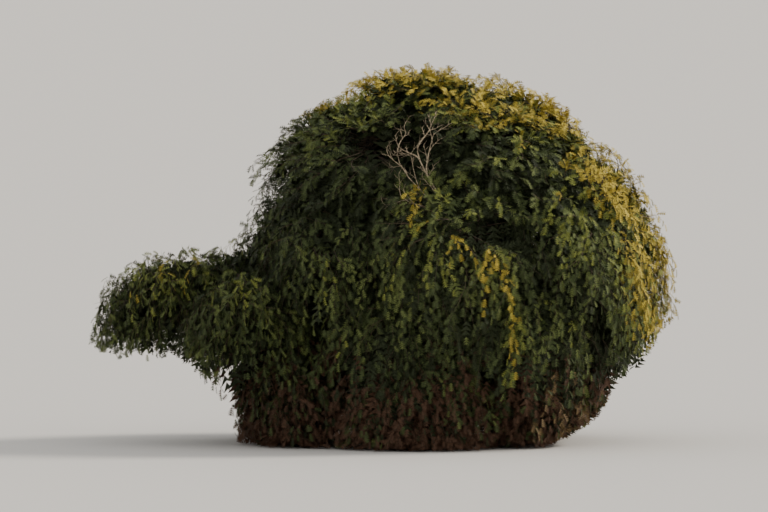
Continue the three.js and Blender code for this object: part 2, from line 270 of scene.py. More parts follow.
def crowding(curve, parent, which, limbs):
    """How much a bough would run into other limbs and the middles of other masses."""
    points = spaced(curve, CROWD_STEPS)[NEAR_FORK:]
    others = masses.every != which
    cost = MASS_COST * np.maximum(0, MASS_ROOM - share_out(points)[:, others]).sum()
    start = masses.entry[others]
    way = masses.centre[others] - start
    share = ((points[:, None] - start) * way).sum(-1) / (way**2).sum(-1)
    nearest = start + np.clip(share, 0, 1)[..., None] * way
    cost += LIMB_COST * (np.linalg.norm(points[:, None] - nearest, axis=-1) < LIMB_ROOM).sum()
    lines = [limb.line for limb in limbs[1:] if limb is not parent]
    if lines:
        gaps = np.linalg.norm(points[:, None, None] - np.array(lines), axis=-1)
        cost += LIMB_COST * (gaps < LIMB_ROOM).any(axis=(0, 2)).sum()
    return cost


def best_bough(which, limbs):
    """The shortest bough to a mass that doesn't turn back or crowd other limbs and masses."""
    ways = []
    tip = masses.entry[which]
    for parent in limbs:
        share = FORK_FROM
        while share <= FORK_TO:
            root = on_curve(parent.curve, share)
            for lift in LIFTS:
                curve = bough_curve(root, which, lift)
                turn = 1 - tangent_on(curve, 0) @ tangent_on(parent.curve, share)
                drop = max(0, root[2] - tip[2] + DROP_ROOM)
                effort = np.linalg.norm(tip - root) * (1 + abs(lift)) + TURN_COST * turn + DROP_COST * drop
                ways.append((effort, len(ways), parent, curve))
            share += FORK_STEP
    best = (math.inf, None, None)
    for effort, _, parent, curve in sorted(ways, key=lambda way: way[:2]):
        if effort > best[0]:
            break
        cost = effort + crowding(curve, parent, which, limbs)
        if cost < best[0]:
            best = (cost, parent, curve)
    return best[1:]


def grow_limbs():
    """The trunk and a bough for each mass: stems from the trunk's head, the others from limbs."""
    head = (*TRUNK_LEAN, TRUNK_HEIGHT)
    curve = np.array(((0, 0, 0), (0, 0, WAIST * TRUNK_HEIGHT), head))
    limbs = [SimpleNamespace(name="trunk", curve=curve, load=0, parent=None, mass=None)]
    order = sorted(masses.every, key=lambda i: (masses.names[i] not in STEMS, -masses.centre[i, 2]))
    for which in order:
        name = masses.names[which]
        parent, curve = limbs[0], stem_curve(head, which)
        if name not in STEMS:
            parent, curve = best_bough(which, limbs)
        limb = SimpleNamespace(name=f"bough_{name}", curve=curve, load=1, parent=parent, mass=which)
        limb.line = spaced(curve, LINE_STEPS)
        limbs.append(limb)
        while parent:
            parent.load += 1
            parent = parent.parent
    for limb in limbs:
        limb.radius = BOUGH_TIP * math.sqrt(limb.load + (OWN_LOAD if limb.parent else 0))
        limb.tip_radius = BOUGH_TIP if limb.parent else limb.radius * TRUNK_TAPER
    return limbs


masses = crown_masses()
entry_share = np.minimum(ENTRY_SHARE, own_reach(masses.every, -masses.heading))
masses.entry = place_in(masses.every, -masses.heading, entry_share)
limbs = grow_limbs()
foliage_nodes = [f"foliage_{name}" for name in masses.names]

# How finely a limb's skin is made, and how cracks and burrs stand in it.
RING_STEP = 0.03
TRUNK_RING_STEP = 0.012
FEWEST_RINGS = 4
TRUNK_SIDES = 80
BOUGH_SIDES = 18
CRACK_SIZE = 0.045
CRACK_STRETCH = 4.5
CRACK_DEPTH = 0.1
DEEPEST_CRACK = 0.012
CRACK_EDGE = 4
CRACK_BREAKS = 0.4
BREAK_SIZE = 2.3
BURR_SIZE = 0.16
BURR_HEIGHT = 0.1
SEED_SHIFT = (3.7, 1.9, 5.3)
GRAIN_SHIFT = 1.3
COLLAR = 0.35
COLLAR_LENGTH = 0.9
HEAD_ROUND = 0.07
HEAD_EDGE = 0.05
NEAR_UPRIGHT = 0.9


def straight_tube(sides, rings):
    """A closed tube of radius 1 that stands from 0 to 1, cut into rings."""
    bm = bmesh.new()
    bmesh.ops.create_cone(bm, cap_ends=True, segments=sides, radius1=1, radius2=1, depth=1)
    bmesh.ops.translate(bm, verts=bm.verts, vec=(0, 0, 0.5))
    along = [e for e in bm.edges if abs(e.verts[0].co.z - e.verts[1].co.z) > 0.5]
    bmesh.ops.subdivide_edges(bm, edges=along, cuts=rings - 1)
    return bm


def line_frames(points):
    """Two ways across a line at each of its points, which turn as little as they can."""
    tangents = unit(np.gradient(points, axis=0))
    across = np.zeros_like(points)
    start = np.cross(tangents[0], UP if abs(tangents[0, 2]) < NEAR_UPRIGHT else SIDEWAYS)
    for i, tangent in enumerate(tangents):
        start = unit(start - (start @ tangent) * tangent)
        across[i] = start
    return across, np.cross(tangents, across)


def smooth_step(value, low, high):
    """0 up to low and 1 from high on, with a smooth rise between them."""
    share = np.clip((value - low) / (high - low), 0, 1)
    return share * share * (3 - 2 * share)


def bark_relief(grain, radius, seed):
    """How far the bark stands out or in, by its place along and round the limb."""
    shift = Vector([seed * step for step in SEED_SHIFT])
    relief = np.zeros(len(grain))
    for i, (x, y, z) in enumerate(grain):
        fine = Vector((x, y, z / CRACK_STRETCH)) / CRACK_SIZE + shift
        crack = 1 - abs(noise.noise(fine) + CRACK_BREAKS * noise.noise(fine * BREAK_SIZE))
        burr = noise.noise(Vector((x, y, z)) / BURR_SIZE + shift)
        depth = min(DEEPEST_CRACK, CRACK_DEPTH * radius[i])
        relief[i] = BURR_HEIGHT * radius[i] * burr - crack**CRACK_EDGE * depth
    return relief


def limb_radius(limb, share, along, angle):
    """The limb's radius, with the trunk's flare and round head or the bough's collar."""
    if limb.parent:
        radius = limb.radius + (limb.tip_radius - limb.radius) * share**BOUGH_TAPER
        room = limb.parent.radius
        return radius * (1 + COLLAR * np.exp(-(((along - room) / (COLLAR_LENGTH * room)) ** 2)))
    ridge = 1 - RIDGE_DEPTH + RIDGE_DEPTH * np.cos(ROOT_RIDGES * angle + RIDGE_TURN)
    radius = limb.radius + (limb.tip_radius - limb.radius) * share
    left = np.clip((along.max() - along) / HEAD_ROUND, HEAD_EDGE, 1)
    return (radius + FLARE * np.exp(-along / FLARE_HEIGHT) * ridge) * np.sqrt(1 - (1 - left) ** 2)


bark = bmesh.new()
grain_parts = []
for number, limb in enumerate(limbs):
    length = np.linalg.norm(np.diff(spaced(limb.curve, LINE_STEPS), axis=0), axis=1).sum()
    rings = max(FEWEST_RINGS, round(length / (RING_STEP if limb.parent else TRUNK_RING_STEP)))
    tube = straight_tube(BOUGH_SIDES if limb.parent else TRUNK_SIDES, rings)
    place = np.array([v.co for v in tube.verts])
    ring = np.round(place[:, 2] * rings).astype(int)
    middle = spaced(limb.curve, rings)
    across, aside = line_frames(middle)
    angle = np.arctan2(place[:, 1], place[:, 0])
    share = ring / rings
    along = share * length
    radius = limb_radius(limb, share, along, angle)
    thick = (limb.radius + limb.tip_radius) / 2
    grain = np.stack((thick * np.cos(angle), thick * np.sin(angle), along), axis=1)
    radius = radius + bark_relief(grain, radius, number)
    turned = np.cos(angle)[:, None] * across[ring] + np.sin(angle)[:, None] * aside[ring]
    points = middle[ring] + radius[:, None] * turned
    if not limb.parent:
        points[ring == 0, 2] = 0
    for vertex, point in zip(tube.verts, points):
        vertex.co = point
    bmesh.ops.recalc_face_normals(tube, faces=tube.faces)
    part = bpy.data.meshes.new("limb")
    tube.to_mesh(part)
    tube.free()
    bark.from_mesh(part)
    bpy.data.meshes.remove(part)
    grain_parts.append(grain + (number * GRAIN_SHIFT, 0, 0))
for face in bark.faces:
    face.smooth = True
bark_mesh = bpy.data.meshes.new("trunk_and_boughs")
bark.to_mesh(bark_mesh)
bark.free()
grain_layer = bark_mesh.attributes.new("grain", "FLOAT_VECTOR", "POINT")
grain_layer.data.foreach_set("vector", np.concatenate(grain_parts).ravel())


def linked(name, data):
    """A new object that shows a mesh, a light or a camera."""
    made = bpy.data.objects.new(name, data)
    bpy.context.scene.collection.objects.link(made)
    return made


def feed(tree, socket, value):
    """Link a socket to another one, or give it a value."""
    if isinstance(value, Maths):
        tree.links.new(value.socket, socket)
    else:
        socket.default_value = value


class Maths:
    """A shader socket whose sums add their own Math nodes."""

    def __init__(self, tree, socket):
        self.tree = tree
        self.socket = socket

    def sum_with(self, operation, first, second):
        node = self.tree.nodes.new("ShaderNodeMath")
        node.operation = operation
        for socket, value in zip(node.inputs, (first, second)):
            feed(self.tree, socket, value)
        return Maths(self.tree, node.outputs[0])

    def __add__(self, other):
        return self.sum_with("ADD", self, other)

    def __mul__(self, other):
        return self.sum_with("MULTIPLY", self, other)

    def __sub__(self, other):
        return self.sum_with("SUBTRACT", self, other)

    def __rsub__(self, other):
        return self.sum_with("SUBTRACT", other, self)

    __radd__ = __add__
    __rmul__ = __mul__


class Finish:
    """A material under its own name, with one method that adds any node."""

    def __init__(self, name):
        self.material = bpy.data.materials.new(name)
        self.material.use_nodes = True
        self.tree = self.material.node_tree
        self.shader = next(n for n in self.tree.nodes if n.type == "BSDF_PRINCIPLED")

    def node(self, kind, settings=(), inputs=(), output=0):
        node = self.tree.nodes.new(kind)
        for key, value in dict(settings).items():
            if key == "stops":
                ramp = node.color_ramp
                while len(ramp.elements) < len(value):
                    ramp.elements.new(0.5)
                for stop, (place, colour) in zip(ramp.elements, value):
                    stop.position = place
                    stop.color = (*colour, 1)
            else:
                setattr(node, key, value)
        for key, value in dict(inputs).items():
            feed(self.tree, node.inputs[key], value)
        return Maths(self.tree, node.outputs[output])

    def set(self, **inputs):
        for key, value in inputs.items():
            feed(self.tree, self.shader.inputs[key.replace("_", " ")], value)


BARK_TONES = ((0.36, (0.022, 0.016, 0.012)), (0.5, (0.085, 0.06, 0.042)), (0.66, (0.2, 0.165, 0.125)))
GRAIN_STRETCH = 0.22
CRACK_SHARE = 0.75


def bark_finish():
    """Grey-brown bark: dark upright cracks in paler plates, in lighter and darker patches."""
    bark = Finish("cracked_bark")
    grain = bark.node("ShaderNodeAttribute", {"attribute_name": "grain"}, output=1)
    long_grain = bark.node(
        "ShaderNodeMapping",
        inputs={"Vector": grain, "Scale": (1, 1, GRAIN_STRETCH)},
    )
    cracks = bark.node(
        "ShaderNodeTexNoise",
        {"noise_dimensions": "3D"},
        {"Vector": long_grain, "Scale": 26, "Detail": 6, "Roughness": 0.62},
    )
    patches = bark.node("ShaderNodeTexNoise", inputs={"Vector": grain, "Scale": 3.5, "Detail": 3})
    shade = cracks * CRACK_SHARE + patches * (1 - CRACK_SHARE)
    colour = bark.node("ShaderNodeValToRGB", {"stops": BARK_TONES}, {"Fac": shade})
    bump = bark.node("ShaderNodeBump", inputs={"Strength": 0.9, "Distance": 0.006, "Height": cracks})
    bark.set(Base_Color=colour, Roughness=0.98 - 0.2 * patches, Normal=bump)
    return bark.material


bark_mesh.materials.append(bark_finish())
bark_piece = linked("trunk_and_boughs", bark_mesh)
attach(bark_piece, "root")
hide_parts(*(limb.name for limb in limbs))


# Twigs
# Each bough runs on as a stem into its mass, and twigs bend out from it to the crown's skin. Thin ones
# leave them on every side and hang, the lower the more. They are wiry, brown and hard.

# How many twigs each mass has, how far back they stand, and how their ends lean and hang.
TWIG_COUNTS = {"top": 38, "upper": 38, "shoulder": 38, "side": 32, "low": 24, "left": 34}
BACK_LIMITS = {"low": -0.5, "left": -0.55}
BACK_LIMIT = -0.15
SPRAY_LENGTH = 0.8
LENGTH_SPREAD = 0.15
LEAN = 0.55
HANG = 0.35
LEAST_HANG = 0.3

# More twigs in every mass, to its skin and to about half way, and where they leave its stem.
MORE_TWIGS = 2.4
DENSER = {"low": 1.45, "left": 1.15}
INNER_TWIGS = 1.1
INNER_REACH = 0.62
INNER_BACK = 0.5
SHORTEST_REACH = 0.55
STEM_REACH = 0.35
STEM_BEND = 0.4
STEM_START = 0.62
START_RANGE = 0.38
FIRST_START = 0.3
TWIG_BEND = 0.45
STEM_END = 0.012
TWIG_START = 0.011
TWIG_END = 0.0035
PROUD_REACH = 0.1

# Grooves between the masses, deepest in the front: how deep and wide, and where they begin.
GROOVE_DEPTH = 0.25
BACK_GROOVE = 0.8
SIDE_GROOVE = 0.2
GROOVE_WIDTH = 0.28
GROOVE_Y = (0.7, 1.6)
GROOVE_Z = (1.1, 2.0)

# The lowest that leaves hang at each x. Each wave of that edge has its share, its rates along x, y and z,
# and its start.
LOW_EDGE_X = (-5.1, -3.5, -3.0, -2.75, 2.2, 2.95, 3.25, 3.8, 4.2)
LOW_EDGE_Z = (1.38, 1.2, 0.55, 0.03, 0.03, 0.4, 0.85, 1.4, 1.9)
LOW_WAVE = 0.14
EDGE_WAVES = ((0.6, (5.3, 2.9, 0), 0), (0.4, (3.1, -7.7, 0), 1.0))
WAVE_FADE = (0.1, 1.2)
EDGE_SLACK = 0.001

# Thin twigs: where they leave a twig, how they turn, rise and point, and their curve's points as shares of
# its length out and its drop down.
SIDE_TWIGS = 13
INNER_SIDE_TWIGS = 5
SIDE_FROM = 0.25
SIDE_TO = 0.98
SIDE_JITTER = 0.8
SIDE_TURN = 2.4
FULL_TURN = 6.3
SIDE_RISE = (0.25, 0.6)
SIDE_WAY = (0.75, 0.8, 0.15)
SIDE_LENGTH = 0.42
SIDE_SHORTER = (1.15, 0.55)
SIDE_CURVE = ((0, 0), (0.4, 0), (0.7, 0.35), (0.85, 0.85))
SIDE_START = 0.0042
SIDE_END = 0.4 * SIDE_START
INNER_SHARE = 0.48
MIDDLE = 0.6

# How much twigs weep high and low, and the room under the skin where they hang free.
LEAST_WEEP = 0.15
MOST_WEEP = 1.5
WEEP_FADE = (2.5, 4.9)
WEEP_LENGTH = 0.35
HANG_ROOM = 0.36
HANG_WAVE = 0.8
HANG_WAVES = (((3.7, 1.3, 0), 0), ((-1.9, 4.3, 0), 0.8))
HANG_STEPS = (0, 0.5, 1)
EDGE_ROOM = 0.22

# The least and the range of shares that are dealt, and the rows of the fixed rolls.
LENGTHS = (0.75, 0.5)
WEEPS = (0.6, 0.8)
BALL_ROLL = 3
SPRAY_ROLL = 5
PROUD_ROLL = 17
SIDE_ROLL = 2
ROLL_RATES = (12.9898, 78.233)
ROLL_SIZE = 43758.5453
BATCH = 50000
TWIG_SEED = 41

dice = np.random.default_rng(TWIG_SEED)


def roll(a, b):
    """A number from 0 to 1, always the same for the same two numbers."""
    value = np.sin(a * ROLL_RATES[0] + b * ROLL_RATES[1]) * ROLL_SIZE
    return value - np.floor(value)


def dealt(least, more, count):
    """Numbers from the least to as much more as the dice give."""
    return least + more * dice.random(count)


def blend(shares, parts):
    """The sum of some shares of some parts."""
    return sum(share * part for share, part in zip(shares, parts))


def wave(points, rates, start=0):
    """A wave over points, by its rates along x, y and z."""
    x, y, z = np.moveaxis(points, -1, 0)
    return np.sin(rates[0] * x + rates[1] * y + rates[2] * z + start)


def fade(value, full, none):
    """1 up to full and 0 from none on, with a smooth fall between them."""
    return smooth_step(-value, -none, -full)


def even_directions(count, seed):
    """Points spread evenly over a ball of radius 1, turned by the seed."""
    golden = math.pi * (3 - math.sqrt(5))
    k = np.arange(count)
    z = 1 - 2 * (k + 0.5) / count
    ring = np.sqrt(1 - z * z)
    angle = golden * k + 2 * math.pi * roll(seed, BALL_ROLL)
    return np.stack((ring * np.cos(angle), ring * np.sin(angle), z), axis=1)


def mass_stems():
    """The stems that run on from the boughs' tips through each mass's middle."""
    order = sorted((limb for limb in limbs if limb.parent), key=lambda limb: limb.mass)
    way = np.array([tangent_on(limb.curve, 1) for limb in order])
    tip = place_in(masses.every, masses.outward, STEM_REACH)
    reach = np.linalg.norm(tip - masses.entry, axis=1)[:, None]
    return np.stack((masses.entry, masses.entry + STEM_BEND * reach * way, tip), axis=1)


def low_edge(points):
    """The height of the crown's low edge at each point."""
    lift = np.interp(points[..., 0], LOW_EDGE_X, LOW_EDGE_Z)
    waves = sum(share * wave(points, rates, start) for share, rates, start in EDGE_WAVES)
    return lift + LOW_WAVE * (1 + waves) * smooth_step(lift, *WAVE_FADE)


def above_low_edge(points):
    return points[:, 2] >= low_edge(points) - EDGE_SLACK


def main_twigs(more, furthest, back):
    """A twig to each even direction of each mass, from its stem to its skin."""
    rings = [name.split("_")[0] for name in masses.names]
    counts = [round(TWIG_COUNTS[ring] * more * DENSER.get(ring, 1)) for ring in rings]
    limit = np.repeat([BACK_LIMITS.get(ring, BACK_LIMIT) - back for ring in rings], counts)
    which = np.repeat(masses.every, counts)
    k = np.concatenate([np.arange(count) for count in counts])
    even = np.concatenate([even_directions(count, i + 1) for i, count in enumerate(counts)])
    outward = masses.outward[which]
    spread = masses.spread[which][:, None]
    depth = masses.depth[which][:, None]
    along = (even * outward).sum(1)
    direction = unit(even * spread + outward * along[:, None] * (depth - spread))
    reach = own_reach(which, direction)
    keep = (along >= limit) & (reach >= SHORTEST_REACH)
    which, k, direction, along, reach = (values[keep] for values in (which, k, direction, along, reach))
    reach = np.minimum(reach, furthest)
    seed = which + 1
    across = unit(np.cross(direction, UP))
    lean = LEAN * np.where(roll(k, seed) < 0.5, -1, 1)
    hang = -HANG * (LEAST_HANG + roll(seed, k))
    way = unit(direction + across * lean[:, None] + UP * hang[:, None])
    length = SPRAY_LENGTH * (1 + LENGTH_SPREAD * (2 * roll(k, seed + SPRAY_ROLL) - 1)) * furthest
    start = on_curve(stems[which], np.clip(STEM_START + START_RANGE * along, FIRST_START, 1))
    low = place_in(which, direction, TWIG_BEND * furthest)
    tip = place_in(which, direction, reach - REACH_STEP / 4)
    curves = np.stack((start, low, tip - way * length[:, None], tip), axis=1)
    return curves[above_low_edge(tip)]


SMALLEST = 1e-9


def on_twig(curves, share):
    """Points on curves of 4 control points."""
    share = np.asarray(share)[..., None]
    left = 1 - share
    a, b, c, d = np.moveaxis(curves, -2, 0)
    return left**3 * a + 3 * share * left**2 * b + 3 * share**2 * left * c + share**3 * d


def twig_tangents(curves, share):
    """The ways that such curves run at a share of their length."""
    share = np.asarray(share)[..., None]
    left = 1 - share
    a, b, c, d = np.moveaxis(curves, -2, 0)
    return unit(left**2 * (b - a) + 2 * share * left * (c - b) + share**2 * (d - c) + SMALLEST)


def proud_reach(row):
    """How far some thin twigs stand out of the crown's skin."""
    return PROUD_REACH * roll(row, PROUD_ROLL) ** 2


def in_crown(points, proud):
    """Whether points lie in the crown's skin or hang just under it."""
    inside = np.zeros(len(points), bool)
    side = np.where(points[:, 1] < 0, 1, BACK_GROOVE) * smooth_step(np.abs(points[:, 1]), *GROOVE_Y)
    groove = GROOVE_DEPTH * np.maximum(side, SIDE_GROOVE) * smooth_step(points[:, 2], *GROOVE_Z)
    first, second = (wave(points, rates, start) for rates, start in HANG_WAVES)
    room = HANG_ROOM * (1 + HANG_WAVE * first * second)
    for some in np.array_split(np.arange(len(points)), 1 + len(points) // BATCH):
        for hang in HANG_STEPS:
            shares = np.partition(share_out(points[some] + (hang * room[some])[:, None] * UP), 1, axis=1)
            crest = smooth_step(shares[:, 1] - shares[:, 0], 0, GROOVE_WIDTH)
            inside[some] |= shares[:, 0] <= 1 + proud[some] - groove[some] * (1 - crest)
    return inside & above_low_edge(points) & ~in_hollow(points)


def weep_at(height):
    """How much twigs hang at a height in the crown."""
    return LEAST_WEEP + (MOST_WEEP - LEAST_WEEP) * fade(height, *WEEP_FADE)


def side_twigs(twigs, count):
    """Thin twigs that leave each twig on every side by turns, and hang."""
    row = np.repeat(np.arange(len(twigs)), count)
    step = np.tile(np.arange(count), len(twigs))
    share = SIDE_FROM + (SIDE_TO - SIDE_FROM) * (step + SIDE_JITTER * dice.random(len(row))) / count
    start = on_twig(twigs[row], share)
    tangent = twig_tangents(twigs[row], share)
    across = unit(np.cross(tangent, UP))
    above = np.cross(across, tangent)
    angle = SIDE_TURN * step + FULL_TURN * roll(row, SIDE_ROLL)
    rise = SIDE_RISE[0] + SIDE_RISE[1] * np.sin(angle)
    aside = across * np.cos(angle)[:, None] + above * rise[:, None]
    wild = dice.standard_normal(start.shape)
    way = unit(blend(SIDE_WAY, (tangent, aside, wild)))
    length = SIDE_LENGTH * (SIDE_SHORTER[0] - SIDE_SHORTER[1] * share) * dealt(*LENGTHS, len(row))
    weep = weep_at(start[:, 2]) * dealt(*WEEPS, len(row))
    length = length * (1 + WEEP_LENGTH * weep)
    reach = length[:, None]
    drop = UP * (weep * length)[:, None]
    curves = np.stack([start + out * reach * way - down * drop for out, down in SIDE_CURVE], axis=1)
    lowest = low_edge(curves[:, 1:]) + EDGE_ROOM * dice.random((len(curves), 1))
    curves[:, 1:, 2] = np.maximum(curves[:, 1:, 2], lowest)
    proud = proud_reach(np.arange(len(row)))
    keep = in_crown(on_twig(curves, MIDDLE), proud) & in_crown(curves[:, 3], proud) & ~in_hollow(start)
    return curves[keep], share[keep] < INNER_SHARE


def tubes(curves, first, last, steps, sides=3):
    """Closed twigs of a few sides that end in a point: their points and triangles."""
    count = len(curves)
    share = np.arange(steps) / steps
    middle = on_twig(curves[:, None], share)
    tangent = twig_tangents(curves[:, None], share)
    chord = unit(curves[:, 3] - curves[:, 0])
    help_way = np.where(np.abs(chord[:, 2:]) < NEAR_UPRIGHT, UP, SIDEWAYS)
    across = unit(np.cross(tangent, help_way[:, None]))
    above = np.cross(tangent, across)
    radius = first + (last - first) * share
    ring = []
    for corner in range(sides):
        angle = 2 * math.pi * corner / sides
        ring.append(middle + radius[:, None] * (math.cos(angle) * across + math.sin(angle) * above))
    points = np.concatenate((np.stack(ring, axis=2).reshape(count, -1, 3), curves[:, 3:]), axis=1)
    faces = [(0, corner + 1, corner) for corner in range(1, sides - 1)]
    for step in range(steps - 1):
        for corner in range(sides):
            a = sides * step + corner
            b = sides * step + (corner + 1) % sides
            faces += [(a, b, b + sides), (a, b + sides, a + sides)]
    end = sides * steps
    faces += [(end - sides + corner, end - sides + (corner + 1) % sides, end) for corner in range(sides)]
    faces = np.array(faces)[None] + (end + 1) * np.arange(count)[:, None, None]
    return points.reshape(-1, 3), faces.reshape(-1, 3)


def joined_piece(name, parts, material, smooth=False):
    """One object from lists of points and triangles."""
    shift = np.cumsum([0] + [len(points) for points, _ in parts[:-1]])
    points = np.concatenate([points for points, _ in parts])
    faces = np.concatenate([faces + start for (_, faces), start in zip(parts, shift)])
    mesh = bpy.data.meshes.new(name)
    mesh.vertices.add(len(points))
    mesh.vertices.foreach_set("co", points.astype(np.float32).ravel())
    mesh.loops.add(faces.size)
    mesh.loops.foreach_set("vertex_index", faces.astype(np.int32).ravel())
    mesh.polygons.add(len(faces))
    mesh.polygons.foreach_set("loop_start", np.arange(0, faces.size, 3, dtype=np.int32))
    mesh.polygons.foreach_set("use_smooth", np.full(len(faces), smooth))
    mesh.update(calc_edges=True)
    mesh.materials.append(material)
    return linked(name, mesh)


def cubic(curves):
    """Curves of 3 control points as the same curves of 4."""
    a, b, c = np.moveaxis(curves, 1, 0)
    return np.stack((a, a + (b - a) * 2 / 3, c + (b - c) * 2 / 3, c), axis=1)


stems = mass_stems()
outer_twigs = main_twigs(MORE_TWIGS, 1, 0)
inner_twigs = main_twigs(INNER_TWIGS, INNER_REACH, INNER_BACK)
outer_sides, near_stem = side_twigs(outer_twigs, SIDE_TWIGS)
inner_sides, _ = side_twigs(inner_twigs, INNER_SIDE_TWIGS)
thin_twigs = np.concatenate((outer_sides, inner_sides))
inner = np.concatenate((near_stem, np.ones(len(inner_sides), bool)))

TWIG_TONES = ((0.35, (0.035, 0.024, 0.016)), (0.65, (0.11, 0.078, 0.045)))


def twig_finish():
    """Brown twig bark, mottled and finely rough."""
    twig = Finish("twig_bark")
    place = twig.node("ShaderNodeTexCoord", output=3)
    mottle = twig.node("ShaderNodeTexNoise", inputs={"Vector": place, "Scale": 9, "Detail": 4})
    colour = twig.node("ShaderNodeValToRGB", {"stops": TWIG_TONES}, {"Fac": mottle})
    rough = twig.node("ShaderNodeTexNoise", inputs={"Vector": place, "Scale": 160, "Detail": 2})
    bump = twig.node("ShaderNodeBump", inputs={"Strength": 0.6, "Distance": 0.002, "Height": rough})
    twig.set(Base_Color=colour, Roughness=0.95 - 0.15 * rough, Normal=bump)
    return twig.material


twig_tubes = {
    "twigs": [
        tubes(cubic(stems), BOUGH_TIP, STEM_END, steps=8),
        tubes(outer_twigs, TWIG_START, TWIG_END, steps=5),
        tubes(inner_twigs, TWIG_START, TWIG_END, steps=3),
    ],
    "thin_twigs": [
        tubes(thin_twigs[~inner], SIDE_START, SIDE_END, steps=2),
        tubes(thin_twigs[inner], SIDE_START, SIDE_END, steps=1),
    ],
}
twig_material = twig_finish()
for name, parts in twig_tubes.items():
    piece = joined_piece(name, parts, twig_material, smooth=True)
    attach(piece, "root")
    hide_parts(*foliage_nodes)


# Bare twigs
# A few dead twigs fork upwards through the dark pocket in the crown's front. Their bark has dropped off and
# the wood is weathered. Two leave a mass's stem, and the others fork off those by turns.

BARE_STEM = "shoulder_6"
BARE_STARTS = (
    {"share": 0.8, "tip": (0.1, -2.38, 4.78), "radius": 0.024},
    {"share": 0.7, "tip": (-0.24, -2.3, 4.72), "radius": 0.017},
)
BARE_FORKS = 4
BARE_CHILDREN = ((1, 0.38), (-1, 0.58), (1, 0.76), (-1, 0.93))
BARE_SPREAD = 0.62
BARE_SHORTER = 0.4
BARE_THINNER = 0.6
BARE_END = 0.3
BARE_BEND = 0.3
BARE_CROOK = 0.09
BARE_LEAN = (0, 0.3, 0.25)
BARE_WILD = 0.3
BARE_LENGTHS = (0.7, 0.7)
VIEW_WAY = (0, 1.0, 0)
WOOD_TONES = ((0.35, (0.11, 0.08, 0.05)), (0.6, (0.38, 0.31, 0.2)))


def bare_twigs():
    """The dead twigs as curves and radii. Each bends up and forks in its turn."""
    made = []
    stem = cubic(stems)[masses.names.index(BARE_STEM)]
    for start in BARE_STARTS:
        growing = [(stem, start["share"], start["tip"], start["radius"])]
        for _ in range(BARE_FORKS):
            next_growing = []
            for parent, share, tip, radius in growing:
                root = on_twig(parent, share)
                reach = np.linalg.norm(tip - root)
                first = root + BARE_BEND * reach * twig_tangents(parent, share)
                curve = np.array((root, first, tip - BARE_BEND * reach * unit(tip - root + reach * UP), tip))
                curve[1:3] += BARE_CROOK * reach * dice.standard_normal((2, 3))
                made.append((curve, radius))
                for side, place in BARE_CHILDREN:
                    way = twig_tangents(curve, place)
                    across = unit(np.cross(way, VIEW_WAY))
                    wild = BARE_WILD * dice.standard_normal(3)
                    child = unit(way + side * BARE_SPREAD * across + wild + BARE_LEAN)
                    child_reach = BARE_SHORTER * reach * child * dealt(*BARE_LENGTHS, None)
                    child_tip = on_twig(curve, place) + child_reach
                    next_growing.append((curve, place, child_tip, radius * BARE_THINNER))
            growing = next_growing
    return made


def dead_wood_finish():
    """Pale weathered wood with darker grain."""
    wood = Finish("weathered_wood")
    place = wood.node("ShaderNodeTexCoord", output=3)
    grain = wood.node("ShaderNodeTexNoise", inputs={"Vector": place, "Scale": 30, "Detail": 5})
    colour = wood.node("ShaderNodeValToRGB", {"stops": WOOD_TONES}, {"Fac": grain})
    bump = wood.node("ShaderNodeBump", inputs={"Strength": 0.6, "Distance": 0.003, "Height": grain})
    wood.set(Base_Color=colour, Roughness=0.9 - 0.15 * grain, Normal=bump)
    return wood.material


bare_tubes = [
    tubes(curve[None], radius, BARE_END * radius, steps=8, sides=5) for curve, radius in bare_twigs()
]
bare_piece = joined_piece("bare_twigs", bare_tubes, dead_wood_finish(), smooth=True)
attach(bare_piece, "root")
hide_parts(*foliage_nodes)


# Leaves
# Feathery leaves of small blades in pairs, along every thin twig and at its tip. They are dull olive, with
# painted shade deep in the crown, and golden at the top and on the right, partly new growth and partly
# painted sunlight.

# Leaves on each thin twig. Where the sky would show through, inner twigs line the crown with more.
OUTER_COUNT = 7
INNER_COUNT = 3
LINING_COUNT = 9
LINING_LARGER = 1.5
LINED = 0.5
LINING = (
    ((-0.4, 0.5, 4.5), (0.9, 2.2, 0.5)),
    ((1.6, 0.4, 3.25), (0.7, 1.8, 0.5)),
    ((2.6, -0.2, 1.1), (0.6, 1.6, 0.5)),
    ((0.05, 0.6, 0.8), (2.5, 1.9, 0.75)),
    ((-2.6, -0.3, 1.2), (0.5, 1.3, 0.55)),
)
SLIT = (((1.15, -0.4, 1.05), (0.45, 2.4, 0.45)),)
SLIT_SEED = 7

# How long leaves are in the skin, deep in it and on inner twigs, and how far out they may stand.
LEAF_LENGTH = 0.135
DEEP_LENGTH = 0.22
DEEP_FADE = (0.5, 0.75)
HIDDEN_LENGTH = 0.3
HIDDEN_DEPTH = -0.14
LEAF_PROUD = 0.03
LEAF_TEST = 0.9
EDGE_CLEAR = 0.01
LOWEST_LEAF = 0.004

# Where leaves stand along a twig, how they turn round it, and how they point and face.
LEAF_FROM = 0.1
LEAF_TO = 0.985
LEAF_JITTER = 0.06
LEAF_ROLL = 5
LEAF_TURN = 0.9
LEAF_WAY = (0.8, 0.65, 0.12)
END_WILD = 0.1
LEAF_WEEP = 0.25
FACE_UP = 0.45
FACE_WILD = 0.45
LEAF_UPRIGHT = 0.85

# A leaf's blades, as shares of its length: pairs by place and length, and the one at its end.
FINE_PAIRS = ((0.06, 0.3), (0.26, 0.4), (0.46, 0.42), (0.66, 0.34))
BROAD_PAIRS = ((0.08, 0.36), (0.34, 0.44), (0.6, 0.36))
BLADE_BASE = 0.85
BLADE_LEAN = 0.4
BLADE_ANGLE = 57
BLADE_FOLD = 0.25
END_LENGTH = 0.24
END_WIDTH = 0.12
LEAF_DROOP = 0.16
MOST_TRIANGLES = 190000


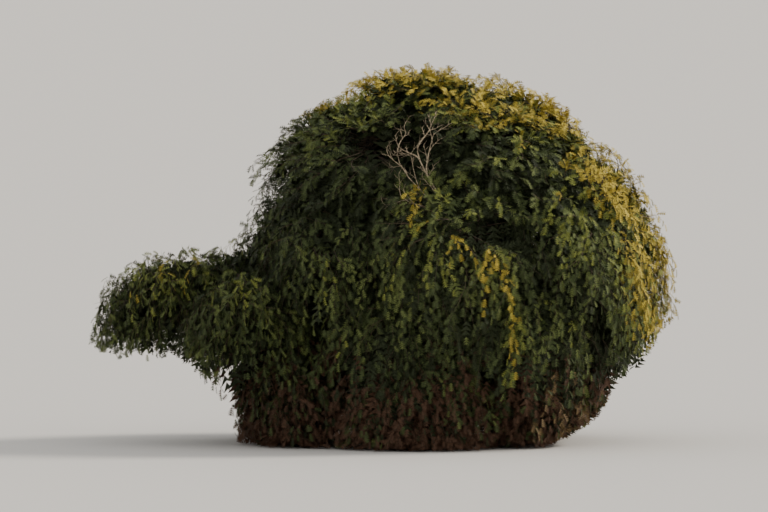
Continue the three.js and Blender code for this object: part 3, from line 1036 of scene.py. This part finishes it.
def leaf_shape(pairs):
    """One leaf along +X, 1 long and facing up."""
    step = pairs[1][0] - pairs[0][0]
    angle = math.radians(BLADE_ANGLE)
    points = []
    faces = []
    for place, length in pairs:
        first = len(points)
        tip = place + BLADE_LEAN * step + length * math.cos(angle)
        side = length * math.sin(angle)
        points += [(place, 0, 0), (place + BLADE_BASE * step, 0, 0)]
        points += [(tip, side, BLADE_FOLD * side), (tip, -side, BLADE_FOLD * side)]
        faces += [(first, first + 1, first + 2), (first, first + 3, first + 1)]
    first = len(points)
    base = 1 - END_LENGTH
    points += [(base, END_WIDTH / 2, 0), (base, -END_WIDTH / 2, 0), (1, 0, 0)]
    faces.append((first, first + 1, first + 2))
    points = np.array(points, float)
    points[:, 2] -= LEAF_DROOP * points[:, 0] ** 2
    return points, np.array(faces)


def leaf_places(chosen, count, larger=1):
    """Where leaves stand on the chosen twigs: roots, ways, facings, lengths and twigs."""
    row = np.repeat(np.flatnonzero(chosen), count)
    step = np.tile(np.arange(count), chosen.sum())
    share = LEAF_FROM + (1 - LEAF_FROM) * step / (count - 1)
    share = np.clip(share + LEAF_JITTER * (dice.random(len(row)) - 0.5), 0, LEAF_TO)
    root = on_twig(thin_twigs[row], share)
    tangent = twig_tangents(thin_twigs[row], share)
    help_way = np.where(np.abs(tangent[:, 2:]) < LEAF_UPRIGHT, UP, SIDEWAYS)
    across = unit(np.cross(tangent, help_way))
    above = np.cross(across, tangent)
    angle = math.pi * step + FULL_TURN * roll(row, LEAF_ROLL) + LEAF_TURN * dice.random(len(row))
    aside = across * np.cos(angle)[:, None] + above * np.sin(angle)[:, None]
    last = (step == count - 1)[:, None]
    wild = dice.standard_normal(root.shape)
    way = unit(np.where(last, tangent + END_WILD * wild, blend(LEAF_WAY, (tangent, aside, wild))))
    weep = weep_at(root[:, 2])[:, None]
    way = unit(way - LEAF_WEEP * weep * UP)
    out = unit(root - CROWN_MIDDLE)
    facing = FACE_UP * UP + out + FACE_WILD * dice.standard_normal(root.shape)
    deep = fade(share_out(root).min(1), *DEEP_FADE)
    length = LEAF_LENGTH + (DEEP_LENGTH - LEAF_LENGTH) * deep
    hidden = row >= len(outer_sides)
    length[hidden] = HIDDEN_LENGTH
    length = larger * length * dealt(*LENGTHS, len(row))
    tip = root + length[:, None] * way
    way[:, 2] += np.maximum(0, low_edge(tip) + EDGE_CLEAR - tip[:, 2]) / length
    way = unit(way)
    facing = unit(facing - (facing * way).sum(1)[:, None] * way)
    proud = np.where(hidden | (larger > 1), HIDDEN_DEPTH, proud_reach(row) + LEAF_PROUD)
    keep = in_crown(root + LEAF_TEST * length[:, None] * way, proud)
    return tuple(values[keep] for values in (root, way, facing, length, row))


def leaf_mesh(pairs, root, way, facing, length):
    """The points and triangles of leaves in these places."""
    shape, faces = leaf_shape(pairs)
    side = np.cross(facing, way)
    axes = np.stack((way, side, facing), axis=1)
    points = root[:, None] + length[:, None, None] * np.einsum("pk,nkx->npx", shape, axes)
    points[..., 2] = np.maximum(points[..., 2], LOWEST_LEAF)
    faces = faces[None] + len(shape) * np.arange(len(root))[:, None, None]
    return points.reshape(-1, 3), faces.reshape(-1, 3)


CROWN_MIDDLE = (DOME_X, 0, DOME_Z)

# The tones from painted shade to painted sunlight, lit and shaded copies of the leaves' olive, and where
# they
# fall: golden on the crown's right and top, partly new growth and partly painted sunlight.
TONES = {
    "shade": (0.022, 0.03, 0.011),
    "deep": (0.048, 0.065, 0.02),
    "olive": (0.096, 0.119, 0.032),
    "fresh_and_sunlit": (0.163, 0.183, 0.036),
    "golden": (0.27, 0.215, 0.028),
    "straw": (0.47, 0.365, 0.055),
    "brown": (0.07, 0.036, 0.02),
    "dry": (0.13, 0.085, 0.036),
}
LIVE_TONES = 6
TONE_STEPS = (0.12, 0.32, 0.5, 0.66, 0.86)
SUN_SIDE = (0.62, 0.55, 0.56)
SUN_RISE = (0.05, 0.3)
LIGHT_MIDDLE = (0.5, 0, 2.4)
SHOULDER_SHADE = 0.3
BACK_SHADE = 0.4
BACK_RISE = (0.3, 0.9)
DUSK_SHADE = 0.9
DUSK_FADE = (1.3, 2.2)
CUSHION_WAY = (0.5, -0.3, 0.8)
CUSHION_RISE = (-0.3, 0.9)
CUSHION_SHADE = 0.4
LOW_FADE = (0.9, 1.9)
OUTER_RISE = (0.5, 0.9)
TOP_RISE = (0.72, 0.95)
VALLEY_WIDTH = 0.35

# How much painted light each thing adds to a spray's tone or takes as painted shade, and where sunlit
# strands, lumps with painted highlights and spots of painted shade are.
LEAST_LIGHT = 0.02
SKIN_LIGHT = 0.03
CREST_LIGHT = 0.25
CUSHION_LIGHT = 0.25
SUN_LIGHT = 0.58
STRAND_LIGHT = 0.46
LUMP_LIGHT = 0.17
TOP_LIGHT = 0.16
EDGE_LIGHT = 0.2
PATCH_LIGHT = 0.065
LOW_SHADE = 0.12
DARK_SHADE = 0.18
PATCH_WAVES = ((2.9, 0, 1.1), (0, 3.3, 0), (2, 1.7, 4.1))
# Strands that hang in the sun get painted light along these lines, in x and z.
SUNLIT_STRAND_LINES = (
    ((0.75, 3.35), (1.2, 3.1), (1.45, 2.6), (1.62, 1.95), (1.7, 1.3)),
    ((0.02, 4.45), (0.05, 4.0), (0.02, 3.5)),
)
STRAND_WIDTH = 0.26
STRAND_CORE = 0.3
STRAND_STEPS = 49
STRAND_BACK = -1.2
# Lumps whose leaves get painted highlights on their lit sides.
LIGHT_LUMPS = (
    ((0.85, -2.9, 2.95), (0.75, 1.2, 0.42)),
    ((1.45, -2.4, 4.1), (1.0, 1.3, 0.55)),
    ((-0.75, -2.8, 2.75), (0.85, 1.2, 0.42)),
    ((-3.85, -0.8, 2.45), (0.6, 1.3, 0.45)),
)
LIT_EDGE = (((-1.0, 0.2, 5.4), (0.85, 1.9, 0.4)),)
# Spots in the crown's front whose leaves get painted shade.
PAINTED_SHADE_SPOTS = (
    ((-0.2, -3.0, 3.3), (0.3, 1.2, 0.34)),
    ((1.15, -2.6, 4.75), (0.4, 1.0, 0.16)),
    ((-1.7, -2.4, 3.5), (0.35, 1.2, 0.3)),
)
PLACE_FADE = (0.7, 1.35)

# How much tones vary, and where leaves are brown, partly wilted and partly painted shade under the crown:
# low, in the front, and dry on the right.
SPRAY_CHANGE = 0.24
LEAF_CHANGE = 0.12
LARGE_LEAF = 0.165
LARGE_SHADE = 0.16
WILT_AND_SHADE_FADE = (-0.2, 2.5)
WILT_AND_SHADE_FROM = 0.19
WILT_AND_SHADE_SPREAD = 0.8
WILT_AND_SHADE_MOST_LIGHT = 0.6
WILT_AND_SHADE_ROLL = 12
GREENER_BACK = 0.3
GREEN_RISE = (-1.2, 1.0)
DRY_RISE = (1.6, 2.6)
DRY_SHARE = 0.6
DRY_ROLL = 14


def sunlit_strand_nearness(points):
    """1 where sunlit strands hang in the crown's front and get painted light, and 0 a strand's width off."""
    gaps = []
    for corners in SUNLIT_STRAND_LINES:
        x, z = np.array(corners).T
        fine = np.linspace(0, len(x) - 1, STRAND_STEPS + 1)
        line = np.stack([np.interp(fine, np.arange(len(x)), values) for values in (x, z)], axis=1)
        gaps.append(np.linalg.norm(points[:, None, ::2] - line, axis=-1).min(1))
    near = fade(np.minimum.reduce(gaps), STRAND_CORE * STRAND_WIDTH, STRAND_WIDTH)
    return near * (points[:, 1] < STRAND_BACK)


def nearness(points, places):
    """1 in the middles of round places, and 0 a little outside them."""
    return fade(from_places(points, places), *PLACE_FADE)


def painted_spray_light(points):
    """How much painted light each spray's tone gets: from 0, painted shade in the crown's depth, to 1 on its
    sunlit skin.
    """
    shares = np.sort(share_out(points), axis=1)
    nearest = masses.centre[share_out(points).argmin(1)]
    out = unit((points - LIGHT_MIDDLE) / (DOME_REACH, DOME_DEPTH, CROWN_TOP - DOME_Z))
    shoulder = 2 * np.maximum(0, out[:, 0]) * np.maximum(0, out[:, 2])
    sun = smooth_step(out @ SUN_SIDE - SHOULDER_SHADE * shoulder, *SUN_RISE)
    sun *= 1 - BACK_SHADE * smooth_step(out[:, 1], *BACK_RISE)
    sun *= 1 - DUSK_SHADE * fade(points[:, 2], *DUSK_FADE)
    low = fade(points[:, 2], *LOW_FADE)
    lit = smooth_step(unit(points - nearest) @ CUSHION_WAY, *CUSHION_RISE)
    first, second, third = (wave(points, rates) for rates in PATCH_WAVES)
    score = SKIN_LIGHT + CREST_LIGHT * smooth_step(shares[:, 1] - shares[:, 0], 0, VALLEY_WIDTH)
    score += CUSHION_LIGHT * lit * (1 - CUSHION_SHADE * low)
    score += SUN_LIGHT * sun + STRAND_LIGHT * sunlit_strand_nearness(points)
    score += LUMP_LIGHT * nearness(points, LIGHT_LUMPS) + EDGE_LIGHT * nearness(points, LIT_EDGE)
    score += TOP_LIGHT * smooth_step(out[:, 2], *TOP_RISE) + PATCH_LIGHT * (first * second + third)
    score = LEAST_LIGHT + score * smooth_step(shares[:, 0], *OUTER_RISE)
    # Painted shade low under the crown, and around the pockets and the spots of painted shade.
    return score - LOW_SHADE * low - DARK_SHADE * nearness(points, HOLLOWS + PAINTED_SHADE_SPOTS)


def leaf_tones(twig_row, length):
    """The tone of each leaf, mostly the same in one spray, dealt by its spray's painted light and shade."""
    score = (light + SPRAY_CHANGE * (dice.random(len(light)) - 0.5))[twig_row]
    x, y, z = middles[twig_row].T
    large = length > LARGE_LEAF
    # Large inner leaves take painted shade: a darker tone.
    score = score + LEAF_CHANGE * (dice.random(len(twig_row)) - 0.5) - LARGE_SHADE * large
    names = np.array(list(TONES)[:LIVE_TONES])[np.digitize(score, TONE_STEPS)]
    green = GREENER_BACK * smooth_step(y, *GREEN_RISE)
    low_enough = fade(z, *WILT_AND_SHADE_FADE) > WILT_AND_SHADE_FROM + green + WILT_AND_SHADE_SPREAD * roll(twig_row, WILT_AND_SHADE_ROLL)
    # Brown low in the crown where the painted light is low: partly wilted leaves and partly painted shade
    # under the crown.
    wilted_and_shaded = low_enough & (score < WILT_AND_SHADE_MOST_LIGHT)
    names[wilted_and_shaded] = "brown"
    dry = roll(twig_row, DRY_ROLL) < DRY_SHARE * smooth_step(x, *DRY_RISE)
    names[wilted_and_shaded & dry & ~large] = "dry"
    return names


MOTTLE = ((0.35, 0.72), (0.65, 1.3))


def leaf_finish(name, colour):
    """A dull leaf of one tone, finely mottled."""
    leaf = Finish(f"leaf_{name}")
    place = leaf.node("ShaderNodeTexCoord", output=3)
    mottle = leaf.node("ShaderNodeTexNoise", inputs={"Vector": place, "Scale": 38, "Detail": 2})
    stops = [(at, [shade * value for value in colour]) for at, shade in MOTTLE]
    tone = leaf.node("ShaderNodeValToRGB", {"stops": stops}, {"Fac": mottle})
    leaf.set(Base_Color=tone, Roughness=0.78 - 0.2 * mottle)
    leaf.shader.inputs["Specular IOR Level"].default_value = 0.2
    return leaf.material


def leaf_kind(pairs, places):
    """The tone and the shape of each piece of one kind of leaf."""
    root, way, facing, length, twig_row = places
    tone_names = leaf_tones(twig_row, length)
    most = MOST_TRIANGLES // (2 * len(pairs) + 1)
    for tone in TONES:
        chosen = np.flatnonzero(tone_names == tone)
        if len(chosen):
            for group in np.array_split(chosen, math.ceil(len(chosen) / most)):
                yield tone, leaf_mesh(pairs, root[group], way[group], facing[group], length[group])


def add_leaves(kind, groups):
    """One piece for each group of leaves."""
    for number, (tone, shape) in enumerate(groups, 1):
        piece = joined_piece(f"{kind}_{tone}_{number}", [shape], leaf_materials[tone])
        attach(piece, "root")
        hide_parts(*foliage_nodes)


leaf_materials = {tone: leaf_finish(tone, colour) for tone, colour in TONES.items()}
middles = on_twig(thin_twigs, MIDDLE)
# How much painted light and painted shade each spray gets, which deals its leaves' tones.
light = painted_spray_light(middles)
lining = inner & (nearness(middles, LINING) > LINED)
slit = inner & (nearness(middles, SLIT) > LINED)
kinds = {
    "leaves": leaf_kind(FINE_PAIRS, leaf_places(~inner, OUTER_COUNT)),
    "deep_leaves": leaf_kind(BROAD_PAIRS, leaf_places(inner & ~lining, INNER_COUNT)),
    "lining_leaves": leaf_kind(BROAD_PAIRS, leaf_places(lining, LINING_COUNT, LINING_LARGER)),
}
for kind, groups in kinds.items():
    add_leaves(kind, groups)

# A slit between two masses of the skirt gets more lining, from its own seed.
dice = np.random.default_rng(SLIT_SEED)
add_leaves("slit_leaves", leaf_kind(BROAD_PAIRS, leaf_places(slit, LINING_COUNT, LINING_LARGER)))


# Floor, light and camera
# A plain pale floor, an even pale sky and one soft warm sun from the right and behind. The camera stands
# where the photographer stood, 8 m up and far off, with a longer lens.

FLOOR_RADIUS = 2500.0
FLOOR_COLOUR = (0.62, 0.6, 0.57)
SKY_COLOUR = (1.0, 0.99, 0.97)
SKY_STRENGTH = 0.9
SUN_COLOUR = (1.0, 0.93, 0.82)
SUN_STRENGTH = 3.2
SUN_AZIMUTH = 16
SUN_HEIGHT = 36
SUN_ANGLE = 14
CAMERA_PLACE = Vector((-0.43, -136.0, 7.85))
CAMERA_AIM = Vector((-0.43, 0.0, 2.95))
FRAME_WIDTH = 12.2
SENSOR_WIDTH = 36

floor = bmesh.new()
bmesh.ops.create_circle(floor, cap_ends=True, segments=96, radius=FLOOR_RADIUS)
floor_mesh = bpy.data.meshes.new("floor")
floor.to_mesh(floor_mesh)
floor.free()
floor_finish = Finish("floor")
floor_finish.set(Base_Color=(*FLOOR_COLOUR, 1), Roughness=0.9)
floor_mesh.materials.append(floor_finish.material)
floor_piece = linked("floor", floor_mesh)

world = bpy.data.worlds.new("sky")
world.use_nodes = True
sky = world.node_tree.nodes["Background"]
sky.inputs["Color"].default_value = (*SKY_COLOUR, 1)
sky.inputs["Strength"].default_value = SKY_STRENGTH
bpy.context.scene.world = world

sun_data = bpy.data.lights.new("sun", "SUN")
sun_data.energy = SUN_STRENGTH
sun_data.color = SUN_COLOUR
sun_data.angle = math.radians(SUN_ANGLE)
azimuth = math.radians(SUN_AZIMUTH)
height = math.radians(SUN_HEIGHT)
flat = math.cos(height)
sun_way = Vector((math.cos(azimuth) * flat, math.sin(azimuth) * flat, math.sin(height)))
linked("sun", sun_data).rotation_euler = sun_way.to_track_quat("Z", "Y").to_euler()

camera_data = bpy.data.cameras.new("camera")
camera_data.sensor_width = SENSOR_WIDTH
camera_data.lens = SENSOR_WIDTH * (CAMERA_AIM - CAMERA_PLACE).length / FRAME_WIDTH
camera_data.clip_start = 1
camera_data.clip_end = 4000
camera = linked("camera", camera_data)
camera.location = CAMERA_PLACE
camera.rotation_euler = (CAMERA_AIM - CAMERA_PLACE).to_track_quat("-Z", "Y").to_euler()
bpy.context.scene.camera = camera
